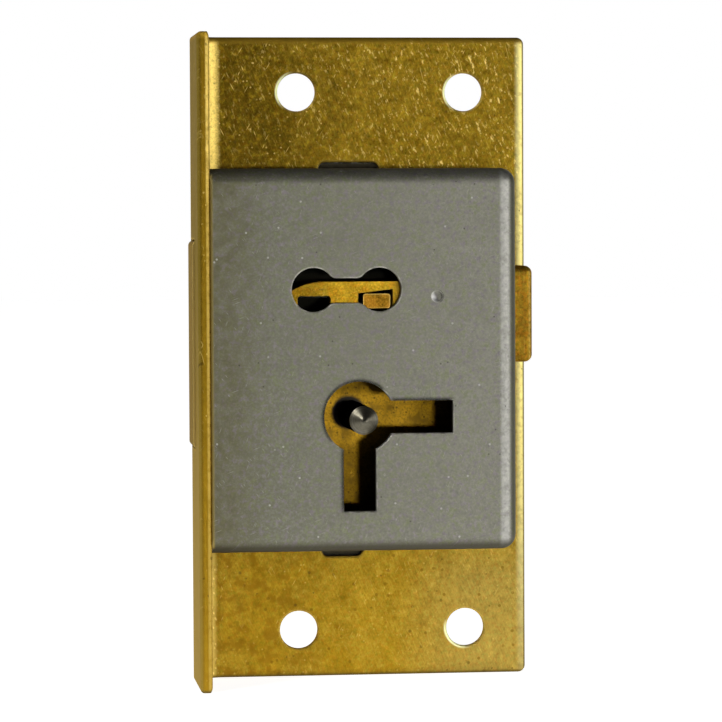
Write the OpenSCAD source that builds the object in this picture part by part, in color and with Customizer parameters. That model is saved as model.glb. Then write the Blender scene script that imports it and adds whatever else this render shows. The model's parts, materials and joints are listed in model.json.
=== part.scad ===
// Cut cupboard lock: a folded brass plate and a pressed steel cap round a sliding bolt and its levers.
// X runs across the plate, away from the selvedge. Y runs from the cap to the plate. Z is up.
// The origin is on the drill pin's axis, on the plate's inner face, which rests on the door.
// Each lever is drawn at the height to which the right key lifts it, with its gate open to the stump.

/* [Back plate] */
// Height of the plate and of its selvedge
plate_h = 64.2; // [58:0.5:76]
// Width from the selvedge's outer face to the plate's free edge
plate_w = 33.8; // [32.5:0.5:44]
// Backset: from the selvedge's outer face to the drill pin
backset = 16.2; // [15.5:0.25:18]
// Height of the drill pin above the plate's lower edge
pin_height = 26.35; // [21:0.05:30]
// Thickness of the brass sheet
sheet_t = 1.2; // [0.9:0.1:1.6]
// Inner radius of the fold between plate and selvedge
fold_r = 1.8; // [0.8:0.1:2.2]
// Radius of the plate's free corners
plate_corner_r = 0.7; // [0.2:0.1:3]
// Radius of the shallow roll that the stamping tool leaves on the sheet's inner edges
roll_r = 1; // [0.75:0.05:1.5]
// Width of that roll
roll_w = 0.6; // [0.3:0.05:0.65]
// Radius filed on the outer edges of the selvedge and of the plate's ends
filed_r = 0.4; // [0.1:0.05:0.45]

/* [Screw holes] */
// Diameter of the screw holes
screw_d = 3.8; // [3:0.1:4.5]
// Distance between the two columns of holes
screw_span_x = 16.9; // [14:0.1:19]
// Distance between the two rows of holes
screw_span_z = 54; // [51:0.25:55]
// Distance of the near column from the selvedge's outer face
screw_inset_x = 10.75; // [8:0.05:12]
// Distance of the lower row from the plate's lower edge
screw_inset_z = 4.7; // [4:0.1:6]
// Straight wall left in front of each countersink
screw_land = 0.4; // [0.3:0.05:0.6]

/* [Cap] */
// Thickness of the steel sheet
cap_t = 0.9; // [0.7:0.05:1.2]
// Width of the cap from the selvedge's inner face
cap_w = 30.05; // [29.6:0.05:31]
// Height of the cap's top above the drill pin
cap_top = 24.6; // [21:0.1:26]
// Depth of the cap's bottom below the drill pin
cap_low = 12.8; // [11.5:0.05:15]
// Outer radius of the cap's bends and of its upright corners
cap_bend_r = 1.5; // [1.25:0.05:2]
// Radius of the cap's edge beside the selvedge
cap_lip_r = 0.2; // [0.1:0.05:0.7]
// Diameter of the centre-punch mark over the lever post
punch_d = 1.1; // [0.6:0.1:1.6]
// Depth of the centre-punch mark
punch_depth = 0.22; // [0.1:0.02:0.4]

/* [Cap tabs] */
// Width of the upper tab
tab_top_w = 5.6; // [4:0.1:8]
// Width of the lower tab
tab_low_w = 3.6; // [3:0.1:8]
// Place of the upper tab's middle, from the drill pin
tab_top_x = -0.2; // [-3:0.1:3]
// Place of the lower tab's middle, from the drill pin
tab_low_x = -1; // [-3:0.1:3]
// Room in a tab's slot beside the tab
tab_side_gap = 0.3; // [0.1:0.05:0.5]
// Room in the upper slot beyond the tab
tab_top_gap = 0.75; // [0.3:0.05:1]
// Room in the lower slot beyond the tab
tab_low_gap = 1.5; // [0.3:0.05:1.6]
// Radius of the slots' outer corners
tab_slot_r = 0.7; // [0.2:0.05:0.75]
// Thickness of the spread end of a tab, hammered out to fill its slot
tab_foot_t = 0.5; // [0.3:0.05:0.8]

/* [Keyhole] */
// Diameter of the keyhole
keyhole_d = 7; // [6.5:0.1:8]
// Width of the two slots for the key's bit
key_slot_w = 3.2; // [2.6:0.1:3.6]
// Reach of the slots from the keyhole's centre
key_slot_reach = 9.2; // [9:0.05:10]
// Offset of the keyhole from the drill pin, across
keyhole_x = -0.5; // [-0.6:0.05:0.6]
// Offset of the keyhole from the drill pin, up
keyhole_z = 0.35; // [-0.6:0.05:0.6]

/* [Window] */
// Radius of the two eyes of the window
eye_r = 2.15; // [1.8:0.05:2.4]
// Distance between the two eyes
eye_span = 6.45; // [5.6:0.05:7]
// Height of the neck's upper edge above the eyes' line
neck_up = 1.13; // [0.8:0.01:1.4]
// Depth of the neck's lower edge below the eyes' line
neck_low = 1.3; // [0.8:0.01:1.4]
// Fillet radius where the neck meets an eye
neck_fillet_r = 0.8; // [0.4:0.05:1]
// Place of the right eye from the drill pin, across
window_x = 1.5; // [1:0.05:2]
// Height of the window above the drill pin
window_z = 12.8; // [12:0.05:13.5]

/* [Bolt] */
// Travel of the bolt
throw = 6.1; // [4.5:0.1:6.3]
// Height of the head
head_h = 20.4; // [17:0.1:22]
// Depth of the head's lower edge below the drill pin
head_low = 2.8; // [0:0.1:6]
// Thickness of the head
head_t = 5.4; // [4.5:0.1:6]
// Length of the head
head_len = 7.3; // [7.1:0.05:7.4]
// How far the drawn-back nose stands out of the selvedge
nose_proud = 0.25; // [0.1:0.05:0.5]
// Radius of the nose's corners
nose_r = 0.5; // [0.2:0.05:1]
// Room behind the head, where it clears the fold
head_rear_gap = 1.45; // [1.4:0.05:1.8]
// Thickness of the bar behind the levers
bar_t = 2.9; // [2.4:0.1:3.4]
// Height of the bar
bar_h = 9.65; // [9.3:0.05:10.4]
// Height of the bar's lower edge above the drill pin
bar_z = 5.25; // [5:0.05:5.8]
// How far the tail stands past the plate's free edge
tail_proud = 0.4; // [0:0.05:1.5]
// Radius of the bar's front edges and of the tail's corners
tail_r = 0.75; // [0.2:0.05:1]
// Reach of the key's bit from the drill pin
key_reach = 8.5; // [8:0.05:8.6]
// Room over the key's bit in the talon
talon_gap = 0.35; // [0.2:0.05:0.6]

/* [Stump] */
// Width of the stump
stump_w = 2.65; // [2.2:0.05:2.9]
// Height of the stump's shank
shank_h = 1.3; // [1:0.05:1.4]
// Height of the shank's top above the drill pin
shank_z = 11.36; // [11.2:0.02:11.5]
// Left edge of the stump from the drill pin, with the bolt drawn back
stump_x = 0; // [-0.2:0.02:0.2]
// Height of the upturned end that shows in the window
lug_h = 1.42; // [1.2:0.02:1.6]
// Height of that end's top above the drill pin
lug_z = 12.37; // [12.2:0.02:12.5]
// Thickness of that end
lug_t = 0.35; // [0.25:0.05:0.5]
// Radius of that end's corners
lug_r = 0.25; // [0.1:0.05:0.4]
// Diameter of the rivet shank that holds the stump in the bar
stump_rivet_d = 1.1; // [0.8:0.05:1.2]

/* [Drill pin] */
// Diameter of the drill pin
pin_d = 2.8; // [2.4:0.1:3.2]
// Length of its conical tip
tip_len = 0.9; // [0.6:0.1:2.5]
// How far the tip stands out of the cap
tip_proud = 0; // [0:0.1:1]
// Diameter of its rivet shank in the plate
pin_rivet_d = 2; // [1.4:0.1:2.2]

/* [Levers] */
// Thickness of a lever
lever_t = 1.6; // [1.2:0.05:1.8]
// Place of the lever post from the drill pin, across
post_x = 7.15; // [6.9:0.05:7.3]
// Height of the lever post above the drill pin
post_z = 12.1; // [12:0.05:12.3]
// Diameter of the lever post
post_d = 3; // [2.4:0.1:3.2]
// Diameter of the post's rivet shank in the plate
post_rivet_d = 2; // [1.4:0.1:2.2]
// Radius of a lever's eye round the post
boss_r = 3.2; // [2.8:0.05:3.4]
// Height of a lever's top edge above the drill pin
lever_top = 13.58; // [13.5:0.02:14.2]
// Left end of a lever from the drill pin
lever_end = 7.8; // [7.5:0.05:8]
// Where a lever's top starts to curve down, left of the drill pin
lever_shoulder = 3.8; // [3:0.1:5]
// Radius of that curve
lever_top_r = 6.2; // [5:0.1:9]
// Radius of a lever's lower corners
lever_low_r = 2.6; // [1.5:0.1:2.8]
// Height of the pockets' floor above the drill pin
pocket_floor = 9.3; // [9:0.05:9.4]
// Rise of the right pocket's roof towards the post
pocket_rise = 0.38; // [0:0.02:0.5]
// Height of the right pocket's roof at its gate end above the drill pin
pocket_roof = 12.41; // [12.2:0.01:12.5]
// Radius of the left pocket's upper corners
pocket_r = 0.3; // [0.1:0.05:0.4]
// Drop of each lever from its gate height to its rest, in degrees, rear lever first
lever_drops = [2.5, 2.9, 2.2, 3.0]; // [1.8:0.1:3.2]
// Height of each lever's belly above the drill pin, rear lever first
lever_bellies = [7.4, 7.8, 7.1, 7.6]; // [6.8:0.1:8]

/* [Springs] */
// Thickness of the spring strip
spring_t = 0.35; // [0.25:0.05:0.5]
// Width of the spring strip
spring_w = 1.1; // [0.8:0.05:1.2]
// Place of a spring's foot from the drill pin
spring_x = 4.4; // [4.2:0.05:4.6]
// Depth of a spring's foot in its lever
spring_seat = 1.5; // [1:0.1:1.8]
// Straight length of a spring above its lever
spring_rise = 0.6; // [0.3:0.1:1.5]
// Angle that the spring's bow turns through
spring_bow = 104; // [92:1:115]

/* [Clearances] */
// Between the plate and the bolt's bar
slide_gap = 0.1; // [0.05:0.01:0.2]
// Between the bolt's bar and the rear lever
bar_lever_gap = 0.2; // [0.1:0.05:0.4]
// Between neighbouring levers
lever_gap = 0.15; // [0.1:0.01:0.25]
// Between the front lever and the stump's upturned end
lug_gap = 0.05; // [0.03:0.01:0.15]
// Between the stump's upturned end and the cap
cap_gap = 0.15; // [0.1:0.05:0.4]
// Round the bolt's head and tail where they pass through
bolt_gap = 0.12; // [0.08:0.02:0.2]
// Round the lever post in the bolt's slot
post_slot_gap = 0.1; // [0.05:0.01:0.2]
// Radial play of a lever on its post
lever_bore_gap = 0.05; // [0.02:0.01:0.08]
// Above and below the stump in a gate
gate_gap = 0.1; // [0.06:0.02:0.16]
// Beside the stump in the left pocket, and at the right end of the right one
pocket_gap = 0.3; // [0.2:0.02:0.4]
// Play of the stump in the right pocket before it meets the gate
gate_play = 0.44; // [0.2:0.02:0.5]
// Between a spring and the cap's top wall
spring_tip_gap = 0.1; // [0.05:0.05:0.2]

/* [Hidden] */
$fn = 96;

brass = [0.74, 0.56, 0.20];
dark_brass = [0.62, 0.45, 0.12];
steel = [0.52, 0.52, 0.49];
bright_steel = [0.72, 0.72, 0.70];

// Cutters run this far past the faces they open
over = 1;
lever_count = len(lever_drops);

// Depths along Y, counted from the plate's inner face towards the cap
bar_front = slide_gap + bar_t;
lever_pitch = lever_t + lever_gap;
levers_rear = bar_front + bar_lever_gap;
levers_front = levers_rear + lever_count * lever_pitch - lever_gap;
lug_front = levers_front + lug_gap + lug_t;
cap_inside = lug_front + cap_gap;
case_d = cap_inside + cap_t;
head_front = head_rear_gap + head_t;
pin_shoulder = case_d + tip_proud - tip_len;

// Edges of the plate and the cap in X and Z
selvedge_x = -backset;
selvedge_in = selvedge_x + sheet_t;
fold_x = selvedge_in + fold_r;
plate_right = selvedge_x + plate_w;
plate_low = -pin_height;
plate_top = plate_low + plate_h;
cap_right = selvedge_in + cap_w;

// Bolt: the bar's rear ends where it clears the fold when thrown, and the bit leaves the talon where its
// circle crosses the bar's lower edge
nose_x = selvedge_x - nose_proud;
head_in = nose_x + head_len;
tail_x = plate_right + tail_proud;
bar_left = fold_x + throw + bolt_gap;
bit_exit = sqrt(key_reach * key_reach - bar_z * bar_z);
talon_left = throw - bit_exit;
talon_right = bit_exit;
talon_roof = key_reach + talon_gap;
shank_low = shank_z - shank_h;
stump_mid = stump_x + stump_w / 2;
shank_mid = shank_z - shank_h / 2;

// Pockets of a lever: the stump rests in the right one, and in the left one when the bolt is thrown
right_pocket = [stump_x - gate_play, stump_x + stump_w + pocket_gap];
left_pocket = [stump_x - throw - pocket_gap, stump_x - throw + stump_w + pocket_gap];
stump_far = post_x - (stump_x - throw);

// Springs
spring_foot = lever_top - spring_seat;
bow_z = lever_top + spring_rise;
bow_r = cap_top - cap_t - spring_tip_gap - bow_z;

// Depth of a lever's rear face
function lever_rear(i) = levers_rear + i * lever_pitch;

// Roof of a lever's left pocket: it meets the stump's shank as the lever comes to its rest
function left_roof(i) = shank_z + gate_gap + stump_far * sin(lever_drops[i]);

// An outline in X and Z, drawn out between two depths in front of the plate
module slab(near, far) {
    translate([0, -near, 0])
        rotate([90, 0, 0])
            linear_extrude(far - near)
                children();
}

// A rod along Y between two depths in front of the plate
module rod(r, near, far) {
    translate([0, -near, 0])
        rotate([90, 0, 0])
            cylinder(r = r, h = far - near);
}

// A rectangle given by its edges
module span(x0, x1, z0, z1) {
    translate([x0, z0])
        square([x1 - x0, z1 - z0]);
}

// What is cut off to round a corner with an arc of radius r, whose centre lies in_x and in_z from the
// corner, where sx and sz point into the shape
module arc_waste(x, z, r, in_x, in_z, sx, sz, past) {
    translate([x, z])
        difference() {
            translate([sx > 0 ? -past : -in_x, sz > 0 ? -past : -in_z])
                square([in_x + past, in_z + past]);
            translate([sx * in_x, sz * in_z])
                circle(r);
        }
}

// What is cut off for a quarter round
module corner_waste(x, z, r, sx, sz, past = over) {
    arc_waste(x, z, r, r, r, sx, sz, past);
}

// Sheet-metal section of plate, fold and selvedge, in X and Y
module fold_section() {
    translate([fold_x, 0])
        square([plate_right - fold_x, sheet_t]);
    translate([selvedge_x, -case_d])
        square([sheet_t, case_d - fold_r]);
    intersection() {
        difference() {
            translate([fold_x, -fold_r])
                circle(fold_r + sheet_t);
            translate([fold_x, -fold_r])
                circle(fold_r);
        }
        translate([selvedge_x, -fold_r])
            square([fold_r + sheet_t, fold_r + sheet_t]);
    }
}

// What is cut off to round one edge at an end of plate, fold and selvedge to a width w, where up is 1 or -1:
// the edge lies this deep in the sheet, and inward is 1 on the inner face and -1 on the outer one
module end_round(z, up, depth, inward, r, w) {
    past = over / 2;
    translate([fold_x, depth, z])
        rotate([90, 0, 90])
            linear_extrude(plate_right - fold_x + over)
                arc_waste(0, 0, r, r, w, inward, -up, past);
    translate([fold_x, -fold_r, z])
        rotate([0, 0, 90])
            rotate_extrude(angle = 90)
                arc_waste(fold_r + depth, 0, r, r, w, inward, -up, past);
    translate([selvedge_in - depth, -fold_r, z])
        rotate([90, 0, 0])
            linear_extrude(case_d - fold_r + over)
                arc_waste(0, 0, r, r, w, -inward, -up, past);
}

// What is cut off to roll the inner edge round one corner of the plate and up to its middle
module corner_roll(z, up) {
    turn_x = plate_right - plate_corner_r;
    turn_z = z - up * plate_corner_r;
    w = min(roll_w, plate_corner_r);
    past = over / 2;
    translate([turn_x, 0, turn_z])
        rotate([-90, 0, 0])
            rotate([0, 0, up > 0 ? -90 : 0])
                rotate_extrude(angle = 90)
                    arc_waste(plate_corner_r, 0, roll_r, w, roll_r, -1, 1, past);
    translate([0, 0, up > 0 ? turn_z - plate_h / 2 : turn_z])
        linear_extrude(plate_h / 2)
            arc_waste(plate_right, 0, roll_r, w, roll_r, -1, 1, past);
}

// One slot from its edge inside the cap to its outer edge, whose corners are round
module tab_slot(x0, x1, inner_z, outer_z) {
    inward = outer_z > inner_z ? -1 : 1;
    difference() {
        span(x0, x1, min(inner_z, outer_z), max(inner_z, outer_z));
        corner_waste(x0, outer_z, tab_slot_r, 1, inward);
        corner_waste(x1, outer_z, tab_slot_r, -1, inward);
    }
}

// The slots in the plate that take the cap's tabs
module tab_slots() {
    top_half = tab_top_w / 2 + tab_side_gap;
    low_half = tab_low_w / 2 + tab_side_gap;
    tab_slot(tab_top_x - top_half, tab_top_x + top_half, cap_top - cap_t, cap_top + tab_top_gap);
    tab_slot(tab_low_x - low_half, tab_low_x + low_half, -cap_low + cap_t, -cap_low - tab_low_gap);
}

// Screw hole with a countersink that opens on the plate's outer face
module screw_hole() {
    rod(screw_d / 2, -sheet_t - over, over);
    sink = sheet_t - screw_land;
    translate([0, screw_land, 0])
        rotate([-90, 0, 0])
            cylinder(r1 = screw_d / 2, r2 = screw_d / 2 + sink, h = sink);
}

module back_plate() {
    color(brass)
        difference() {
            translate([0, 0, plate_low])
                linear_extrude(plate_h)
                    fold_section();
            slab(-sheet_t - over, over) {
                corner_waste(plate_right, plate_top, plate_corner_r, -1, -1);
                corner_waste(plate_right, plate_low, plate_corner_r, -1, 1);
                tab_slots();
            }
            for (column = [0, 1], row = [0, 1])
                translate([
                    selvedge_x + screw_inset_x + column * screw_span_x,
                    0,
                    plate_low + screw_inset_z + row * screw_span_z
                ])
                    screw_hole();
            rod(pin_rivet_d / 2, -sheet_t - over, over);
            translate([post_x, 0, post_z])
                rod(post_rivet_d / 2, -sheet_t - over, over);
            end_round(plate_top, 1, 0, 1, roll_r, roll_w);
            end_round(plate_low, -1, 0, 1, roll_r, roll_w);
            end_round(plate_top, 1, sheet_t, -1, filed_r, filed_r);
            end_round(plate_low, -1, sheet_t, -1, filed_r, filed_r);
            corner_roll(plate_top, 1);
            corner_roll(plate_low, -1);
            translate([0, 0, plate_low - over])
                linear_extrude(plate_h + 2 * over) {
                    arc_waste(selvedge_in, -case_d, roll_r, roll_w, roll_r, -1, 1, over);
                    corner_waste(selvedge_x, -case_d, filed_r, 1, 1, filed_r);
                }
            translate([selvedge_x - over, -head_front - bolt_gap, -head_low - bolt_gap])
                cube([sheet_t + 2 * over, head_t + 2 * bolt_gap, head_h + 2 * bolt_gap]);
        }
}

// A block with rounded front edges and rounded corners at its right end, square at its left end
module pressed_block(x0, x1, z0, z1, rear, front, r) {
    bend_x = x1 - r;
    bend_y = -front + r;
    translate([x0, -front, z0 + r])
        cube([bend_x - x0, front - rear, z1 - z0 - 2 * r]);
    translate([x0, bend_y, z0])
        cube([bend_x - x0, -rear - bend_y, z1 - z0]);
    translate([x0, bend_y, z0 + r])
        cube([x1 - x0, -rear - bend_y, z1 - z0 - 2 * r]);
    translate([bend_x, bend_y, z0 + r])
        cylinder(r = r, h = z1 - z0 - 2 * r);
    for (bend_z = [z0 + r, z1 - r]) {
        translate([x0, bend_y, bend_z])
            rotate([0, 90, 0])
                cylinder(r = r, h = bend_x - x0);
        translate([bend_x, 0, bend_z])
            rod(r, rear, front - r);
        translate([bend_x, bend_y, bend_z])
            sphere(r);
    }
}

// One half of the neck between the window's eyes, from their line up to its height, with filleted ends
module half_neck(height) {
    fillet_z = height + neck_fillet_r;
    reach = eye_r + neck_fillet_r;
    fillet_x = sqrt(reach * reach - fillet_z * fillet_z);
    touch_x = fillet_x * eye_r / reach;
    touch_z = fillet_z * eye_r / reach;
    difference() {
        span(touch_x - eye_span, -touch_x, -over, touch_z);
        for (x = [-fillet_x, fillet_x - eye_span])
            translate([x, fillet_z])
                circle(neck_fillet_r);
        span(fillet_x - eye_span, -fillet_x, height, fillet_z + neck_fillet_r);
    }
}

// Inspection window: two eyes joined by a neck
module window() {
    translate([window_x, window_z]) {
        circle(eye_r);
        translate([-eye_span, 0])
            circle(eye_r);
        half_neck(neck_up);
        mirror([0, 1])
            half_neck(neck_low);
    }
}

// Keyhole with one slot to the right and one downwards
module keyhole() {
    translate([keyhole_x, keyhole_z]) {
        circle(keyhole_d / 2);
        span(0, key_slot_reach, -key_slot_w / 2, key_slot_w / 2);
        span(-key_slot_w / 2, key_slot_w / 2, -key_slot_reach, 0);
    }
}

module cap() {
    inner_r = cap_bend_r - cap_t;
    punch_r = (punch_d * punch_d / 4 + punch_depth * punch_depth) / (2 * punch_depth);
    color(steel)
        difference() {
            union() {
                pressed_block(selvedge_in, cap_right, -cap_low, cap_top, 0, case_d, cap_bend_r);
                slab(-sheet_t, tab_foot_t - sheet_t)
                    tab_slots();
                slab(-sheet_t, over) {
                    span(tab_top_x - tab_top_w / 2, tab_top_x + tab_top_w / 2, cap_top - cap_t, cap_top);
                    span(tab_low_x - tab_low_w / 2, tab_low_x + tab_low_w / 2, -cap_low, -cap_low + cap_t);
                }
            }
            pressed_block(
                selvedge_in - over, cap_right - cap_t, -cap_low + cap_t, cap_top - cap_t,
                -sheet_t - over, cap_inside, inner_r
            );
            slab(cap_inside - over, case_d + over) {
                window();
                keyhole();
            }
            translate([0, 0, -cap_low - over])
                linear_extrude(cap_low + cap_top + 2 * over) {
                    corner_waste(selvedge_in, 0, fold_r, 1, -1);
                    corner_waste(selvedge_in, -case_d, cap_lip_r, 1, 1);
                }
            translate([post_x, -case_d - punch_r + punch_depth, post_z])
                sphere(punch_r);
            slab(-over, bar_front + bolt_gap)
                span(cap_right - cap_t - over, cap_right + over, bar_z - bolt_gap, bar_z + bar_h + bolt_gap);
        }
}

module drill_pin() {
    color(bright_steel) {
        rod(pin_rivet_d / 2, -sheet_t, over);
        rod(pin_d / 2, 0, pin_shoulder);
        translate([0, -pin_shoulder, 0])
            rotate([90, 0, 0])
                cylinder(r1 = pin_d / 2, r2 = 0, h = tip_len);
    }
}

module lever_post() {
    color(bright_steel)
        translate([post_x, 0, post_z]) {
            rod(post_rivet_d / 2, -sheet_t, over);
            rod(post_d / 2, 0, cap_inside);
        }
}

module bolt() {
    slot_r = post_d / 2 + post_slot_gap;
    bar_top = bar_z + bar_h;
    color(dark_brass)
        difference() {
            union() {
                slab(head_rear_gap, head_front)
                    difference() {
                        span(nose_x, head_in, -head_low, head_h - head_low);
                        corner_waste(nose_x, -head_low, nose_r, 1, 1);
                        corner_waste(nose_x, head_h - head_low, nose_r, 1, -1);
                    }
                pressed_block(
                    head_in - head_len / 2, bar_left + 2 * tail_r, bar_z, bar_top,
                    head_rear_gap, bar_front, tail_r
                );
                pressed_block(bar_left, tail_x, bar_z, bar_top, slide_gap, bar_front, tail_r);
            }
            slab(slide_gap - over, bar_front + over) {
                span(talon_left, talon_right, bar_z - over, talon_roof);
                for (x = [post_x, post_x + throw])
                    translate([x, post_z])
                        circle(slot_r);
                span(post_x, post_x + throw, post_z - slot_r, post_z + slot_r);
            }
            translate([stump_mid, 0, shank_mid])
                rod(stump_rivet_d / 2, 0, bar_front + over);
        }
}

// The stump's side view in Y and Z: a shank through the gates, upturned at its end and chamfered under it
module stump_section() {
    lug_low = lug_z - lug_h;
    lug_rear = levers_front + lug_gap;
    polygon([
        [-bar_front, shank_low],
        [-lug_front + lug_low - shank_low, shank_low],
        [-lug_front, lug_low],
        [-lug_front, lug_z],
        [-lug_rear, lug_z],
        [-lug_rear, shank_z],
        [-bar_front, shank_z]
    ]);
}

module bolt_stump() {
    stump_right = stump_x + stump_w;
    color(brass) {
        translate([stump_mid, 0, shank_mid])
            rod(stump_rivet_d / 2, slide_gap, bar_front + over);
        difference() {
            translate([stump_x, 0, 0])
                rotate([90, 0, 90])
                    linear_extrude(stump_w)
                        stump_section();
            slab(levers_front + lug_gap, lug_front + over)
                for (z = [lug_z - lug_h, lug_z]) {
                    up = z < lug_z ? 1 : -1;
                    corner_waste(stump_x, z, lug_r, 1, up, lug_r);
                    corner_waste(stump_right, z, lug_r, -1, up, lug_r);
                }
        }
    }
}

// Opening of a lever: two pockets and the gate that joins them
module lever_opening(i) {
    difference() {
        span(left_pocket[0], left_pocket[1], pocket_floor, left_roof(i));
        corner_waste(left_pocket[0], left_roof(i), pocket_r, 1, -1, pocket_r);
        corner_waste(left_pocket[1], left_roof(i), pocket_r, -1, -1, pocket_r);
    }
    span(left_pocket[1] - over, right_pocket[0] + over, shank_low - gate_gap, shank_z + gate_gap);
    polygon([
        [right_pocket[0], pocket_floor],
        [right_pocket[1], pocket_floor],
        [right_pocket[1], pocket_roof + pocket_rise],
        [right_pocket[0], pocket_roof]
    ]);
}

module lever(i) {
    belly = lever_bellies[i];
    color(brass)
        slab(lever_rear(i), lever_rear(i) + lever_t)
            difference() {
                union() {
                    translate([post_x, post_z])
                        circle(boss_r);
                    difference() {
                        span(-lever_end, post_x, belly, lever_top);
                        corner_waste(-lever_shoulder - lever_top_r, lever_top, lever_top_r, 1, -1);
                        corner_waste(-lever_end, belly, lever_low_r, 1, 1);
                        corner_waste(post_x, belly, lever_low_r, -1, 1);
                    }
                }
                translate([post_x, post_z])
                    circle(post_d / 2 + lever_bore_gap);
                lever_opening(i);
                span(spring_x - spring_t / 2, spring_x + spring_t / 2, spring_foot, lever_top + over);
            }
}

// Strip spring: its foot sits in the lever's slit, and its bow bears on the cap's top wall
module lever_spring(i) {
    inset = (lever_t - spring_w) / 2;
    near = lever_rear(i) + inset;
    bow_x = spring_x + spring_t / 2 - bow_r;
    color(bright_steel) {
        slab(near, near + spring_w)
            span(spring_x - spring_t / 2, spring_x + spring_t / 2, spring_foot, bow_z);
        translate([bow_x, -near, bow_z])
            rotate([90, 0, 0])
                rotate_extrude(angle = spring_bow)
                    translate([bow_r - spring_t, 0])
                        square([spring_t, spring_w]);
    }
}

back_plate();
cap();
drill_pin();
lever_post();
bolt();
bolt_stump();
for (i = [0 : lever_count - 1]) {
    lever(i);
    lever_spring(i);
}
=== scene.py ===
"""Cut cupboard lock: worn brass plate, grey pressed steel cap and the brass works behind it.

Metres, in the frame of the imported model: X away from the selvedge, Y from the cap to the plate, Z up.
"""

import json
import math

import bpy
from mathutils import Matrix, Vector


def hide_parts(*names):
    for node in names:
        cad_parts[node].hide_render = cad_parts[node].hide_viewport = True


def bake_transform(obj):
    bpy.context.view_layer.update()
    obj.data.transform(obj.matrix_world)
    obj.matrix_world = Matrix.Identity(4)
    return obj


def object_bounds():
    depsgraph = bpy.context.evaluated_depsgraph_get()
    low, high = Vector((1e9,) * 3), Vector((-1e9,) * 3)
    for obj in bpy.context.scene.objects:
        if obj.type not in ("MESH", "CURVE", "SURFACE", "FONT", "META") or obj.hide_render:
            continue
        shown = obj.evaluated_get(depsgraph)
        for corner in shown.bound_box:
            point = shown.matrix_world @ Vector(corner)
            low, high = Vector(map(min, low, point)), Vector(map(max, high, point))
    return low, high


MM = 0.001
PHOTO_SIDE = 722

# Camera, fitted to the photograph's outline
CAMERA_AT = (-40.54 * MM, -355.0 * MM, 20.13 * MM)
CAMERA_YAW = -6.671
CAMERA_PITCH = -2.364
CAMERA_ROLL = -0.261
CAMERA_FOCAL_PX = 3555.2
SENSOR = 36.0

# Levels on the lock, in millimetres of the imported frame
SELVEDGE_OUT_X = -16.2
SELVEDGE_IN_X = -15.0
CAP_RIGHT_X = 15.05
PLATE_RIGHT_X = 17.6
TAIL_END_X = 18.0
FRONT_Y = -11.5
STUMP_END_BACK_Y = -10.1
FRONT_LEVER_BACK_Y = -8.45
PLATE_BACK_Y = 1.2
PLATE_LOW_Z = -26.35
CAP_LOW_Z = -12.8
STUMP_END_LOW_Z = 10.95
CAP_TOP_Z = 24.6
PLATE_TOP_Z = 37.85

# Axes along Y, as X and Z in the same millimetres, and the screw holes' radius
TOP_LEFT_HOLE = (-5.45, 32.35)
TOP_RIGHT_HOLE = (11.45, 32.35)
LOW_RIGHT_HOLE = (11.45, -21.65)
SCREW_HOLE_R = 1.9
PUNCH_MARK = (7.15, 12.1)
PIN_SHADOW = (-0.3, 0.2)

# Number of levers
LEVERS = 4

# Lamps: place and size in metres, and radiance
LAMPS = {
    "key_lamp": ((0.046, -0.90, -0.012), 0.050, 0.036, 159.0),
    "side_box": ((0.43, -0.39, 0.07), 0.50, 0.20, 3.0),
    "left_window": ((-0.304, -0.274, 0.320), 0.08, 0.08, 26.0),
}
FLOOR_HALF = 1.6
FLOOR_GLOW = 0.90

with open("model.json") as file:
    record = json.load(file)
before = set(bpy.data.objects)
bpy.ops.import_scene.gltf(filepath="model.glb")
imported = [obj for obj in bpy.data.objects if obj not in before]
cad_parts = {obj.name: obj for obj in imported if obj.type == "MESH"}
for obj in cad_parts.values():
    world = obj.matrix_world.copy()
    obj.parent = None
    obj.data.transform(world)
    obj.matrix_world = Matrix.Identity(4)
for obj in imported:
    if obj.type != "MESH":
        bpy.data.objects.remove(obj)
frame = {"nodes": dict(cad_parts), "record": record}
cad_low, cad_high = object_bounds()
nodes = frame["nodes"]


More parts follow.
